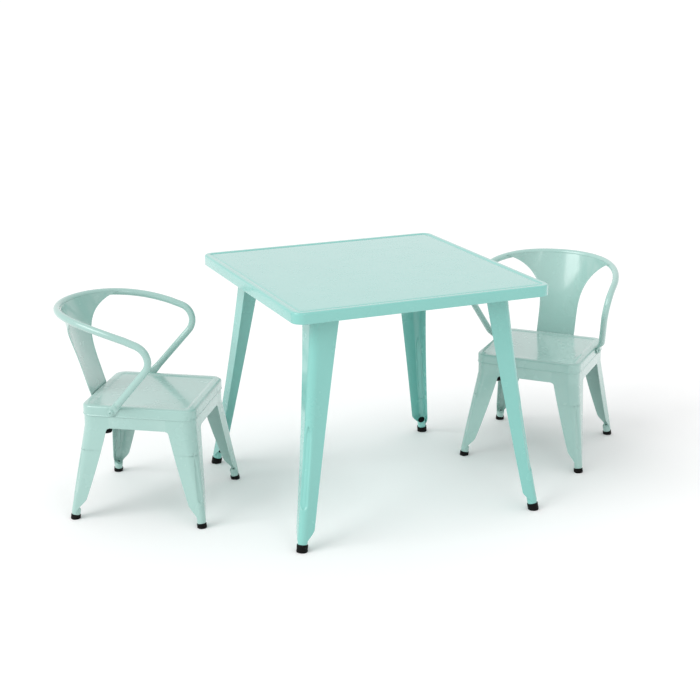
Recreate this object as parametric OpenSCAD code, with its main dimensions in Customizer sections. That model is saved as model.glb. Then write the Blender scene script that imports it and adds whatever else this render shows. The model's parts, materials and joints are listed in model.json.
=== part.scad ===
// Children's pressed-steel table with two low armchairs.
// Millimetres, +Z up, the floor at z = 0, the origin under the middle of the whole set.

/* [Table] */
// Width and depth of the square tabletop
table_size = 600; // [480:5:760]
// Height of the tabletop's upper face
table_h = 529; // [430:1:640]
// Depth of the tabletop's turned-down edge
table_skirt = 24.5; // [20:0.5:34]
// Corner radius of the tabletop, seen from above
table_corner_r = 24; // [20:1:45]
// Rounding of the tabletop's upper edge
table_edge_r = 4; // [2:0.5:6]
// Width of the raised rim around the tabletop's panel
table_rim = 13; // [9:0.5:15]
// Drop from the raised rim to the panel
table_panel_drop = 1.2; // [0.6:0.1:2]
// Distance from the tabletop's edge to each leg's outer faces, at the top
table_leg_inset = 66; // [50:0.5:80]
// Distance from the tabletop's edge to each foot's centre, at the floor
table_foot_inset = 15.5; // [8:0.5:30]
// Width of a table leg's flange at the top
table_flange_top = 61; // [54:1:76]
// Width of a table leg's flange at its lower end
table_flange_end = 34.5; // [31:0.5:42]
// Height of the flanges' lower end above the floor
table_flange_z = 38; // [33:1:50]
// Outer radius of a table leg's foot tube
table_tube_r = 12; // [10:0.5:13]

/* [Chair seat and legs] */
// Width and depth of the square seat
seat_size = 260; // [220:2:320]
// Height of the seat's upper face
seat_h = 263.5; // [215:0.5:320]
// Depth of the seat pan's turned-down edge
seat_skirt = 24.5; // [20:0.5:30]
// Corner radius of the seat, seen from above
seat_corner_r = 28; // [24:1:40]
// Rounding of the seat's upper edge
seat_edge_r = 6; // [3:0.5:8]
// Width of the raised rim around the seat's panel
seat_rim = 16; // [12:0.5:18]
// Drop from the raised rim to the seat's panel
seat_panel_drop = 2; // [1:0.1:3]
// Depth of the frame rails below the seat pan's edge
rail_drop = 27; // [20:1:36]
// How far each foot's centre stands out past the seat's edge
chair_foot_out = 17; // [8:0.5:26]
// Width of a chair leg's flange just under the frame rails
chair_flange_top = 58.5; // [50:0.5:64]
// Width of a chair leg's flange at its lower end
chair_flange_end = 29; // [26:0.5:38]
// Height of the flanges' lower end above the floor
chair_flange_z = 30; // [26:1:44]
// Outer radius of a chair leg's foot tube
chair_tube_r = 10.5; // [9:0.25:12]

/* [Chair arms and back] */
// Diameter of the bent arm rail
arm_d = 16; // [12:0.5:20]
// Height of the arm rail's centre line at the back, above the seat
arm_back_h = 195.5; // [150:0.5:240]
// How far the rail's centre line stands behind the seat's rear edge
arm_back_out = 79.5; // [60:0.5:100]
// Half width between the arms, at the widest
arm_half_w = 172.5; // [160:0.5:200]
// Distance from the seat's middle forward to the arms' front corner
arm_reach = 71.5; // [50:0.5:95]
// Drop of the rail from the back to the front corner
arm_drop = 57.5; // [40:0.5:75]
// Bend radius at the arms' front corner
arm_bend_r = 38; // [28:1:50]
// Distance of the arm bolts behind the seat's middle
arm_bolt_back = 56; // [44:0.5:57]
// Depth of the arm bolts below the seat's upper face
arm_bolt_drop = 12.5; // [11:0.5:13.5]
// Half width of the back splat at its waist
splat_half_w = 49; // [36:0.5:60]
// Extra half width of the back splat where it meets the rail
splat_flare = 84; // [50:1:88]

/* [Sheet and fasteners] */
// Thickness of the pans' and rails' sheet
sheet_t = 1.2; // [1:0.1:1.5]
// Thickness of the legs' sheet
leg_t = 1.5; // [1.2:0.1:2]
// Thickness of the back splat
splat_t = 1.5; // [1:0.1:2]
// Radius of the bolts' shanks
bolt_r = 3; // [2:0.5:3.5]
// Radius of the bolts' domed heads
head_r = 5.8; // [4.5:0.1:6.5]

/* [Places] */
// Distance from the tabletop's left edge out to the left chair's middle
left_chair_gap = 180; // [150:1:400]
// Place of the left chair's middle along the tabletop's edge
left_chair_along = 125.5; // [60:0.5:200]
// Direction that the left chair faces
left_chair_turn = -33.8; // [-60:0.1:0]
// Distance from the tabletop's right edge out to the right chair's middle
right_chair_gap = 210; // [190:1:400]
// Place of the right chair's middle along the tabletop's edge
right_chair_along = 76.5; // [20:0.5:140]
// Direction that the right chair faces
right_chair_turn = -137.2; // [-150:0.1:-120]
// Place of the table's middle in X, which centres the set
table_x = -17; // [-60:0.5:60]
// Place of the table's middle in Y, which centres the set
table_y = -20; // [-60:0.5:60]

/* [Hidden] */
$fn = 48;

aqua = [0.62, 0.86, 0.83];
mint = [0.68, 0.82, 0.79];
black = [0.05, 0.05, 0.05];
zinc = [0.72, 0.73, 0.74];

// Quarter turns that carry the corner at (+x, +y) to each corner.
// On the table: rear right, rear left, front left, front right.
// On a chair, which faces +x: front left, rear left, rear right, front right.
quarter = 90;
clear = 0.3;
hem = 7;
bead = 0.9;
bead_h = 1.6;
round_steps = 5;

/* ---- Pressed pans: one edge profile swept round a square with round corners ---- */

// Points of a quarter round from straight out to straight up, about the point c.
function quarter_round(c, r, n) = [for (i = [0:n]) c + r * [cos(quarter * i / n), sin(quarter * i / n)]];

// The two ways a skirt's lower edge is finished, each as the outer and the inner end of the profile.
function hem_outer(skirt) = [[-hem, -skirt], [0, -skirt]];
function hem_inner(skirt) = [[-sheet_t, -skirt + sheet_t], [-hem, -skirt + sheet_t]];
function bead_outer(skirt) = [
    [-sheet_t, -skirt], [bead, -skirt], [bead, -skirt + bead_h], [0, -skirt + bead_h + bead]
];

// Edge profile: x runs outward and is 0 on the pan's outer face, y is 0 on the raised rim.
function pan_profile(outer_end, inner_end, edge_r, rim, drop) = concat(
    outer_end,
    quarter_round([-edge_r, -edge_r], edge_r, round_steps),
    [[-rim, 0], [-rim - 2 * drop, -drop], [-rim - 2 * drop, -drop - sheet_t], [-rim, -sheet_t]],
    [for (i = [round_steps:-1:0]) quarter_round([-edge_r, -edge_r], edge_r - sheet_t, round_steps)[i]],
    inner_end
);

module round_square(size, r) {
    square([size, size - 2 * r], center = true);
    square([size - 2 * r, size], center = true);
    for (x = [-1, 1], y = [-1, 1])
        translate([x * (size / 2 - r), y * (size / 2 - r)])
            circle(r);
}

module pan(size, h, corner_r, profile, rim, drop) {
    straight = size - 2 * corner_r;
    panel_inset = rim + 2 * drop;
    for (k = [0:3])
        rotate([0, 0, quarter * k]) {
            translate([size / 2, straight / 2, h])
                rotate([90, 0, 0])
                    linear_extrude(straight)
                        polygon(profile);
            translate([straight / 2, straight / 2, h])
                rotate_extrude(angle = 90)
                    translate([corner_r, 0])
                        polygon(profile);
        }
    translate([0, 0, h - drop - sheet_t])
        linear_extrude(sheet_t)
            round_square(size - 2 * panel_inset, corner_r - panel_inset);
}

/* ---- Pressed V-section legs ---- */

// A leg's outer corner points along (+x, +y). Its sizes, in order:
// 0 top end, 1 height where the splay starts, 2 lower end of the flanges,
// 3 outer face at the top, 4 outer face at the floor, 5 corner radius at the top,
// 6 corner radius at the lower end, 7 flange width at the top, 8 flange width at the end,
// 9 bow of the flanges' inner edges, 10 how far the flanges close up, 11 fillet under the rails,
// 12 radius of the hole in the foot tube's slanted top, 13 and 14 heights between which the flanges
// sweep in to the foot tube, 15 how much the leg flares out towards the floor
function leg_face(g, z) = z >= g[1] ? g[3] : let (s = 1 - z / g[1])
    g[3] + (g[4] - g[3]) * (s + g[15] * (s * s - s));
function leg_part(g, z) = z >= g[1] ? 0 : min(1, (g[1] - z) / (g[1] - g[2]));
function leg_round(g, z) = g[5] + (g[6] - g[5]) * leg_part(g, z);
function leg_edge_plain(g, s) = let (top = g[3] - g[7], end = leg_face(g, g[2]) - g[8])
    top + (end - top - g[9]) * s + g[9] * s * s;
function bite(r, x) = x >= r ? 0 : r - sqrt(r * r - (r - x) * (r - x));
function leg_edge(g, z) = leg_edge_plain(g, leg_part(g, z))
    - (z >= g[1] ? g[11] : bite(g[11], g[1] - z));

// Where the flanges have swept in to the foot tube, only the rounded corner goes on, as a collar.
notch_n = 7;
collar_l = 17;
collar_flat = 0.3;
fillet_n = 3;
flange_n = 6;
leg_arc = 4;

function smooth(x) = let (s = min(1, max(0, x))) s * s * (3 - 2 * s);
function notch_share(g, z) = smooth((z - g[13]) / (g[14] - g[13]));

function leg_section(g, z) =
    let (o = leg_face(g, z) - leg_round(g, z))
    let (turn = g[10] * leg_part(g, z))
    let (full_l = (o - leg_round(g, z) * sin(turn) - leg_edge(g, z)) / cos(turn))
    let (flat_l = collar_flat + (full_l - collar_flat) * notch_share(g, z))
    let (skin = function(r) concat(
        [[o + r * cos(turn) - flat_l * sin(turn), o - r * sin(turn) - flat_l * cos(turn)]],
        [for (i = [0:leg_arc])
            let (a = -turn + (quarter + 2 * turn) * i / leg_arc)
            [o + r * cos(a), o + r * sin(a)]],
        [[o - r * sin(turn) - flat_l * cos(turn), o + r * cos(turn) - flat_l * sin(turn)]]
    ))
    let (outer = skin(leg_round(g, z)), inner = skin(leg_round(g, z) - leg_t))
    [for (p = outer) [p[0], p[1], z], for (i = [len(inner) - 1:-1:0]) [inner[i][0], inner[i][1], z]];

// Triangles that join closed rings of n points each, with both ends left open.
function ring_sides(rings, n) = [
    for (j = [0:rings - 2], k = [0:n - 1])
        let (a = j * n + k, b = j * n + (k + 1) % n)
        each [[a, b, a + n], [b, b + n, a + n]]
];
// Strip of quads that closes a folded-sheet section of n points, starting at point s.
function strip_cap(s, n) = [for (i = [0:n / 2 - 2]) [s + i, s + i + 1, s + n - 2 - i, s + n - 1 - i]];
function flip(faces) = [for (f = faces) [for (i = [len(f) - 1:-1:0]) f[i]]];

module folded_sheet(sections) {
    n = len(sections[0]);
    m = len(sections);
    polyhedron(
        points = [for (s = sections) each s],
        faces = concat(flip(ring_sides(m, n)), flip(strip_cap((m - 1) * n, n)), strip_cap(0, n))
    );
}

function leg_levels(g) = concat(
    [for (i = [0:notch_n]) let (low = g[2] - collar_l) low + (g[14] - low) * i / notch_n],
    [for (i = [1:flange_n]) g[14] + (g[1] - g[11] - g[14]) * i / flange_n],
    g[11] > 0 ? [for (i = [1:fillet_n]) g[1] - g[11] * (1 - sin(quarter * i / fillet_n))] : [],
    [g[0]]
);

// Stands its children on the foot's own tilted axis, with z = 0 where that axis meets the floor.
module foot_axis(g) {
    splay = (g[4] - g[3]) * (1 + g[15]) / g[1];
    centre = g[4] - g[6];
    translate([centre, centre, 0])
        rotate([0, 0, 45])
            rotate([0, -atan(splay * sqrt(2)), 0])
                children();
}

cap_sole = 5;
cap_wall = 1.4;
tube_wall = 1.5;
// The tube's top is cut on a slant that faces the middle of its piece, this far below the flanges' end.
tube_slant = 30;
tube_short = 2;
weld = 0.4;
cap_below = 1.5;
spigot_gap = 2;
floor_cut = 20;

function tube_r(g) = g[6] - leg_t + weld;

// A rod that stands on z = 0, with a slanted top that crosses its axis at height h.
module slant_rod(r, h) {
    difference() {
        cylinder(r = r, h = h + r);
        translate([0, 0, h])
            rotate([0, -tube_slant, 0])
                translate([-2 * r, -2 * r, 0])
                    cube(4 * r);
    }
}

module leg(g) {
    folded_sheet([for (z = leg_levels(g)) leg_section(g, z)]);
    tube_l = g[2] - tube_short - cap_sole;
    foot_axis(g)
        translate([0, 0, cap_sole])
            difference() {
                slant_rod(tube_r(g), tube_l);
                translate([0, 0, -1])
                    slant_rod(tube_r(g) - tube_wall, tube_l + 1 - tube_wall / cos(tube_slant));
                cylinder(r = g[12], h = 2 * g[2]);
            }
}

module foot(g, h) {
    difference() {
        foot_axis(g)
            difference() {
                translate([0, 0, -cap_below])
                    cylinder(r = tube_r(g) + cap_wall, h = h + cap_below);
                translate([0, 0, cap_sole])
                    difference() {
                        cylinder(r = tube_r(g), h = h);
                        cylinder(r = tube_r(g) - tube_wall, h = h - cap_sole - spigot_gap);
                    }
            }
        translate([0, 0, -floor_cut / 2])
            cube([4 * g[4], 4 * g[4], floor_cut], center = true);
    }
}

/* ---- Bolts ---- */

// A bolt along +x: the head's flat underside is at x = 0, and the shank runs to -x.
module bolt(shank_l) {
    rotate([0, 90, 0])
        rotate_extrude()
            polygon(concat(
                [[0, -shank_l], [bolt_r, -shank_l], [bolt_r, 0], [head_r, 0]],
                [for (i = [0:dome_steps])
                    let (a = quarter * i / dome_steps)
                    [head_r * cos(a), head_rim + head_dome * sin(a)]]
            ));
}

nut_h = 5;
nut_share = 1.9;
head_rim = 0.8;
head_dome = 2.6;
dome_steps = 4;
bolt_tail = 1;

// A nut on a shank along x, from x = 0 to -nut_h.
module nut() {
    translate([-nut_h, 0, 0])
        rotate([0, 90, 0])
            difference() {
                cylinder(r = bolt_r * nut_share, h = nut_h, $fn = 6);
                translate([0, 0, -1])
                    cylinder(r = bolt_r, h = nut_h + 2);
            }
}

/* ---- Table ---- */

table_half = table_size / 2;
table_under = table_h - table_panel_drop - sheet_t;
bracket_t = 2;
bracket_tab = 42;
bracket_tab_h = 20;
bracket_back = 12;
bracket_lap = 8;
tab_gap = 18;
table_cap_h = 16;
table_bolt_in = 32;
table_bolt_z = table_under - (bracket_t + bracket_tab_h) / 2 - 1;
table_leg_corner_r = 18;
table_leg_bow = 0;
table_leg_close = 12;
table_leg_fillet = 0;
table_tube_lip = 0.8;
table_notch_low = 16;
table_notch_high = 46;
table_leg_flare = 0.25;
table_leg_geo = [
    table_under - bracket_t, table_h - table_skirt, table_flange_z,
    table_half - table_leg_inset, table_half - table_foot_inset + table_tube_r,
    table_leg_corner_r, table_tube_r, table_flange_top, table_flange_end,
    table_leg_bow, table_leg_close, table_leg_fillet,
    table_tube_r - leg_t + weld - tube_wall - table_tube_lip,
    table_notch_low, table_notch_high, table_leg_flare
];
channel_w = 30;
channel_h = 14;
channel_flange = 8;
channel_place = table_half / 3;

module at_table() {
    translate([table_x, table_y, 0])
        children();
}

module table_top() {
    color(aqua)
        at_table()
            pan(
                table_size, table_h, table_corner_r,
                pan_profile(
                    hem_outer(table_skirt), hem_inner(table_skirt),
                    table_edge_r, table_rim, table_panel_drop
                ),
                table_rim, table_panel_drop
            );
}

// A hat-section stiffener under the panel.
module top_channel(side) {
    length = table_size - 2 * (sheet_t + hem);
    color(aqua)
        at_table()
            translate([side * channel_place, length / 2, table_under])
                rotate([90, 0, 0])
                    linear_extrude(length)
                        difference() {
                            translate([-channel_w / 2 - channel_flange, -channel_h])
                                square([channel_w + 2 * channel_flange, channel_h]);
                            translate([-channel_w / 2 + sheet_t, -channel_h + sheet_t])
                                square([channel_w - 2 * sheet_t, channel_h]);
                            for (s = [-1, 1], flange_x = s * (channel_w / 2 + channel_flange))
                                translate([flange_x - channel_flange, -channel_h - sheet_t])
                                    square([2 * channel_flange, channel_h]);
                        }
}

// Bolt places on the two flanges of the leg at (+x, +y): the second is the first mirrored.
module on_flanges(face, inward, z) {
    translate([face, face - inward, z])
        children();
    mirror([1, -1, 0])
        translate([face, face - inward, z])
            children();
}

// A corner bracket: a plate under the panel, with a tab inside each flange of the leg.
module table_bracket(k) {
    inside = table_leg_geo[3] - leg_t;
    reach = inside - bracket_tab - bracket_back;
    plate = inside - reach + bracket_lap;
    tab_z = table_under - bracket_tab_h;
    color(zinc)
        at_table()
            rotate([0, 0, quarter * k])
                difference() {
                    union() {
                        translate([reach, reach, table_under - bracket_t])
                            cube([plate, plate, bracket_t]);
                        for (m = [0, 1])
                            mirror([m, -m, 0])
                                translate([inside - bracket_t, inside - bracket_tab, tab_z])
                                    cube([bracket_t, bracket_tab - tab_gap, bracket_tab_h]);
                    }
                    on_flanges(inside - bracket_t - 1, table_bolt_in - leg_t - bracket_t - 1, table_bolt_z)
                        rotate([0, 90, 0])
                            cylinder(r = bolt_r, h = bracket_t + 2);
                }
}

module table_leg(k) {
    color(aqua)
        at_table()
            rotate([0, 0, quarter * k])
                difference() {
                    leg(table_leg_geo);
                    on_flanges(table_leg_geo[3] - leg_t - 1, table_bolt_in - leg_t - 1, table_bolt_z)
                        rotate([0, 90, 0])
                            cylinder(r = bolt_r, h = leg_t + 2);
                }
}

module table_foot(k) {
    color(black)
        at_table()
            rotate([0, 0, quarter * k])
                foot(table_leg_geo, table_cap_h);
}

module table_leg_bolts() {
    color(zinc)
        at_table()
            for (k = [0:3])
                rotate([0, 0, quarter * k])
                    on_flanges(table_leg_geo[3], table_bolt_in, table_bolt_z)
                        bolt(leg_t + bracket_t + nut_h + bolt_tail);
}

module table_leg_nuts() {
    inside = table_leg_geo[3] - leg_t - bracket_t;
    color(zinc)
        at_table()
            for (k = [0:3])
                rotate([0, 0, quarter * k])
                    on_flanges(inside, table_bolt_in - leg_t - bracket_t, table_bolt_z)
                        nut();
}

/* ---- Chair: it faces +x, with the seat's middle over the origin ---- */

seat_half = seat_size / 2;
frame_face = seat_half - sheet_t;
frame_top = seat_h - seat_edge_r - clear;
rail_z = seat_h - seat_skirt - rail_drop;
rail_hem = 6;
chair_leg_bow = 9;
chair_leg_close = 9;
chair_leg_fillet = 6;
chair_vent_r = 2.6;
chair_notch_low = 12;
chair_notch_high = 50;
chair_leg_flare = 0;
chair_cap_h = 10;
chair_leg_geo = [
    frame_top, rail_z, chair_flange_z,
    frame_face, seat_half + chair_foot_out + chair_tube_r,
    seat_corner_r - sheet_t, chair_tube_r, chair_flange_top, chair_flange_end,
    chair_leg_bow, chair_leg_close, chair_leg_fillet, chair_vent_r,
    chair_notch_low, chair_notch_high, chair_leg_flare
];
rail_half = leg_edge(chair_leg_geo, rail_z);

module at_chair(side) {
    gap = side < 0 ? left_chair_gap : right_chair_gap;
    along = side < 0 ? left_chair_along : right_chair_along;
    turn = side < 0 ? left_chair_turn : right_chair_turn;
    translate([table_x + side * (table_half + gap), table_y + along, 0])
        rotate([0, 0, turn])
            children();
}

bolt_x = -arm_bolt_back;
bolt_z = seat_h - arm_bolt_drop;
hole_l = 20;
pad_t = 4.4;
pad_half_w = 9.5;
tip_half_w = 5;

// Bolt places on both sides of the seat, with x turned to point outward.
module at_arm_bolts(out) {
    for (s = [-1, 1])
        translate([bolt_x, s * out, bolt_z])
            rotate([0, 0, s * quarter])
                children();
}

module bolt_holes() {
    at_arm_bolts(frame_face - hole_l / 2)
        rotate([0, 90, 0])
            cylinder(r = bolt_r, h = hole_l);
}

module seat_pan(side) {
    color(mint)
        at_chair(side)
            difference() {
                pan(
                    seat_size, seat_h, seat_corner_r,
                    pan_profile(bead_outer(seat_skirt), [], seat_edge_r, seat_rim, seat_panel_drop),
                    seat_rim, seat_panel_drop
                );
                bolt_holes();
            }
}

// One frame rail between two legs: a flat strip with its lower edge turned in.
module frame_rail(side, k) {
    rail_inner = frame_face - sheet_t;
    color(mint)
        at_chair(side)
            difference() {
                rotate([0, 0, quarter * k])
                    translate([0, rail_half, 0])
                        rotate([90, 0, 0])
                            linear_extrude(2 * rail_half)
                                polygon([
                                    [frame_face, rail_z], [frame_face, frame_top],
                                    [rail_inner, frame_top], [rail_inner, rail_z + sheet_t],
                                    [frame_face - rail_hem, rail_z + sheet_t],
                                    [frame_face - rail_hem, rail_z]
                                ]);
                bolt_holes();
            }
}

module chair_leg(side, k) {
    color(mint)
        at_chair(side)
            rotate([0, 0, quarter * k])
                leg(chair_leg_geo);
}

module chair_foot(side, k) {
    color(black)
        at_chair(side)
            rotate([0, 0, quarter * k])
                foot(chair_leg_geo, chair_cap_h);
}

// Diagonal flat bars welded between the legs' corners, just under the frame rails.
brace_w = 20;
brace_t = 3;
brace_z = rail_z - chair_leg_fillet;
bumper_taper = 2;
bumper_r = 13;
bumper_h = 16;
bumper_out = 120;

module cross_brace(side) {
    face = leg_face(chair_leg_geo, brace_z);
    bend = leg_round(chair_leg_geo, brace_z);
    inner = bend - leg_t;
    reach = sqrt(2) * (face - bend) + sqrt(inner * inner - brace_w * brace_w / 4) - clear;
    color(mint)
        at_chair(side)
            for (a = [45, 135])
                rotate([0, 0, a])
                    translate([0, 0, brace_z - brace_t / 2])
                        cube([2 * reach, brace_w, brace_t], center = true);
}

module stack_bumpers(side) {
    color(black)
        at_chair(side)
            for (k = [0:3])
                rotate([0, 0, 45 + quarter * k])
                    translate([bumper_out, 0, brace_z - brace_t - bumper_h])
                        cylinder(r1 = bumper_r - bumper_taper, r2 = bumper_r, h = bumper_h);
}

/* ---- Arm rail: half an ellipse at the back, straight arms, then struts down to the seat ---- */

arm_r = arm_d / 2;
back_z = seat_h + arm_back_h;
back_x = -seat_half - arm_back_out;
wide_x = -5.5;
back_a = wide_x - back_x;
corner_out = 3;
corner_pt = [arm_reach, arm_half_w + corner_out, back_z - arm_drop];
pad_y = seat_half + clear / 3 + pad_t / 2;
strut_dir = unit([corner_pt[0] - bolt_x, 0, corner_pt[2] - bolt_z]);
pad_pt = [bolt_x, pad_y, bolt_z];
knee_out = 14;
knee_up = 37;
knee_r = 22;
pad_up = 15;
pad_down = 4;
tip_down = 7.5;
knee_pt = pad_pt + [0, knee_out, 0] + strut_dir * knee_up;
pad_top = pad_pt + strut_dir * pad_up;
pad_low = pad_pt - strut_dir * pad_down;
pad_tip = pad_pt - strut_dir * tip_down;

// Height of the rail's centre line: level at the back, and falling faster towards the front.
function arm_z(x) = back_z - arm_drop * pow((x - back_x) / (arm_reach - back_x), 2);

function unit(v) = v / norm(v);

// Points on an arc of radius r that rounds the corner b of the path a, b, c.
function rounded(a, b, c, r, n) =
    let (u = unit(a - b), v = unit(c - b))
    let (half = acos(u * v) / 2)
    let (mid = unit(u + v))
    let (centre = b + mid * r / sin(half))
    let (e = (b + u * r / tan(half) - centre) / r, f = (b + v * r / tan(half) - centre) / r)
    let (sweep = 180 - 2 * half)
    [for (i = [0:n]) centre + r * (sin(sweep * (n - i) / n) * e + sin(sweep * i / n) * f) / sin(sweep)];

arc_n = 14;
bend_n = 7;
knee_n = 3;
flatten_n = 4;
arm_sides = 12;
back_arc = [
    for (i = [0:arc_n])
        let (x = wide_x - back_a * cos(quarter * i / arc_n))
        [x, arm_half_w * sin(quarter * i / arc_n), arm_z(x)]
];
half_path = concat(
    back_arc,
    rounded(back_arc[arc_n], corner_pt, knee_pt, arm_bend_r, bend_n),
    rounded(corner_pt, knee_pt, pad_top, knee_r, knee_n),
    [pad_top, pad_pt, pad_low, pad_tip]
);
half_n = len(half_path);

// How round the rail still is at each point of the half path: 1 is full round, 0 is pressed flat.
function roundness(i) = max(0, min(1, (half_n - flatten_n - i) / flatten_n));
// Half the rail's width at each point, which grows as it is pressed flat and shrinks at its tip.
function half_wide(i) = i == half_n - 1 ? tip_half_w : pad_half_w + (arm_r - pad_half_w) * roundness(i);
function outward(i) = i <= arc_n
    ? let (a = quarter * i / arc_n) [-cos(a) / back_a, sin(a) / arm_half_w, 0]
    : [0, 1, 0];
function mirrored(p) = [p[0], -p[1], p[2]];

function rail_ring(path, outs, rounds, wides, i) =
    let (last = len(path) - 1)
    let (t = unit(path[min(i + 1, last)] - path[max(i - 1, 0)]))
    let (n = unit(outs[i] - (outs[i] * t) * t))
    let (b = cross(t, n))
    let (thick = pad_t / 2 + (arm_r - pad_t / 2) * rounds[i], outer = 1 / cos(180 / arm_sides))
    [for (k = [0:arm_sides - 1])
        let (a = 360 * (k + 0.5) / arm_sides)
        path[i] + n * (thick * outer * cos(a)) + b * (wides[i] * outer * sin(a))];

module arm_rail(side) {
    last = half_n - 1;
    path = concat([for (i = [last:-1:1]) mirrored(half_path[i])], half_path);
    outs = concat([for (i = [last:-1:1]) mirrored(outward(i))], [for (i = [0:last]) outward(i)]);
    rounds = [for (i = [-last:last]) roundness(abs(i))];
    wides = [for (i = [-last:last]) half_wide(abs(i))];
    rings = len(path);
    color(mint)
        at_chair(side)
            difference() {
                polyhedron(
                    points = [for (i = [0:rings - 1]) each rail_ring(path, outs, rounds, wides, i)],
                    faces = concat(
                        flip(ring_sides(rings, arm_sides)),
                        [[for (k = [0:arm_sides - 1]) k]],
                        [[for (k = [arm_sides - 1:-1:0]) (rings - 1) * arm_sides + k]]
                    )
                );
                bolt_holes();
            }
}

/* ---- Back splat: one curved sheet from the rear skirt up inside the rail ---- */

splat_foot_z = seat_h - seat_skirt + bead_h + bead + clear;
splat_bend_z = seat_h - seat_edge_r;
splat_spacing = 0.8;
splat_across = 12;
splat_up = 11;
waist_up = 36;
waist_z = seat_h + waist_up;

// Plan curve of the splat's top, just inside the rail.
function splat_top_x(y) = wide_x - (back_a - arm_r - splat_t / 2 - clear)
    * sqrt(1 - pow(y / (arm_half_w - arm_r - splat_t / 2), 2));
function splat_w(z) = splat_half_w + splat_flare * pow(max(0, z - waist_z) / (back_z - waist_z), 3);
function splat_x(y, z) = let (foot_x = -seat_half - splat_t / 2)
    z <= splat_bend_z ? foot_x
        : foot_x + (splat_top_x(y) - foot_x) * (z - splat_bend_z) / (back_z - splat_bend_z);
function splat_z(j) = j == 0 ? splat_foot_z
    : splat_bend_z + (back_z - splat_bend_z) * pow((j - 1) / (splat_up - 1), splat_spacing);

module back_splat(side) {
    rows = [
        for (j = [0:splat_up])
            let (z = splat_z(j), w = splat_w(z))
            concat(
                [for (i = [0:splat_across])
                    let (y = w * (2 * i / splat_across - 1)) [splat_x(y, z) - splat_t / 2, y, z]],
                [for (i = [splat_across:-1:0])
                    let (y = w * (2 * i / splat_across - 1)) [splat_x(y, z) + splat_t / 2, y, z]]
            )
    ];
    color(mint)
        at_chair(side)
            folded_sheet([for (j = [splat_up:-1:0]) rows[j]]);
}

module arm_bolts(side) {
    color(mint)
        at_chair(side)
            at_arm_bolts(pad_y + pad_t / 2 + clear / 3)
                bolt(pad_t + 2 * sheet_t + nut_h + bolt_tail);
}

module arm_nuts(side) {
    color(zinc)
        at_chair(side)
            at_arm_bolts(frame_face - sheet_t)
                nut();
}

left = -1;
right = 1;
table_top();
top_channel(left);  // top_channel_left
top_channel(right);  // top_channel_right
table_bracket(0);  // table_bracket_rear_right
table_bracket(1);  // table_bracket_rear_left
table_bracket(2);  // table_bracket_front_left
table_bracket(3);  // table_bracket_front_right
table_leg(0);  // table_leg_rear_right
table_leg(1);  // table_leg_rear_left
table_leg(2);  // table_leg_front_left
table_leg(3);  // table_leg_front_right
table_foot(0);  // table_foot_rear_right
table_foot(1);  // table_foot_rear_left
table_foot(2);  // table_foot_front_left
table_foot(3);  // table_foot_front_right
table_leg_bolts();
table_leg_nuts();
seat_pan(left);  // left_seat_pan
frame_rail(left, 0);  // left_rail_front
frame_rail(left, 1);  // left_rail_left
frame_rail(left, 2);  // left_rail_rear
frame_rail(left, 3);  // left_rail_right
chair_leg(left, 0);  // left_leg_front_left
chair_leg(left, 1);  // left_leg_rear_left
chair_leg(left, 2);  // left_leg_rear_right
chair_leg(left, 3);  // left_leg_front_right
chair_foot(left, 0);  // left_foot_front_left
chair_foot(left, 1);  // left_foot_rear_left
chair_foot(left, 2);  // left_foot_rear_right
chair_foot(left, 3);  // left_foot_front_right
cross_brace(left);  // left_cross_brace
stack_bumpers(left);  // left_stack_bumpers
arm_rail(left);  // left_arm_rail
back_splat(left);  // left_back_splat
arm_bolts(left);  // left_arm_bolts
arm_nuts(left);  // left_arm_nuts
seat_pan(right);  // right_seat_pan
frame_rail(right, 0);  // right_rail_front
frame_rail(right, 1);  // right_rail_left
frame_rail(right, 2);  // right_rail_rear
frame_rail(right, 3);  // right_rail_right
chair_leg(right, 0);  // right_leg_front_left
chair_leg(right, 1);  // right_leg_rear_left
chair_leg(right, 2);  // right_leg_rear_right
chair_leg(right, 3);  // right_leg_front_right
chair_foot(right, 0);  // right_foot_front_left
chair_foot(right, 1);  // right_foot_rear_left
chair_foot(right, 2);  // right_foot_rear_right
chair_foot(right, 3);  // right_foot_front_right
cross_brace(right);  // right_cross_brace
stack_bumpers(right);  // right_stack_bumpers
arm_rail(right);  // right_arm_rail
back_splat(right);  // right_back_splat
arm_bolts(right);  // right_arm_bolts
arm_nuts(right);  // right_arm_nuts
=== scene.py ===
"""Children's steel table with two low armchairs: fine meshes, paint, light and camera around the CAD frame.

Meshes are worked out in millimetres, in the table's or a chair's own axes, and add_piece() turns them into
metres in the frame. A chair faces its own +X, with its seat's middle over its origin. Angles named for a
person to set are in degrees.
"""

import json
from math import acos, atan, cos, pi, radians, sin, sqrt, tan

import bmesh
import bpy
from mathutils import Matrix, Vector


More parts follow.
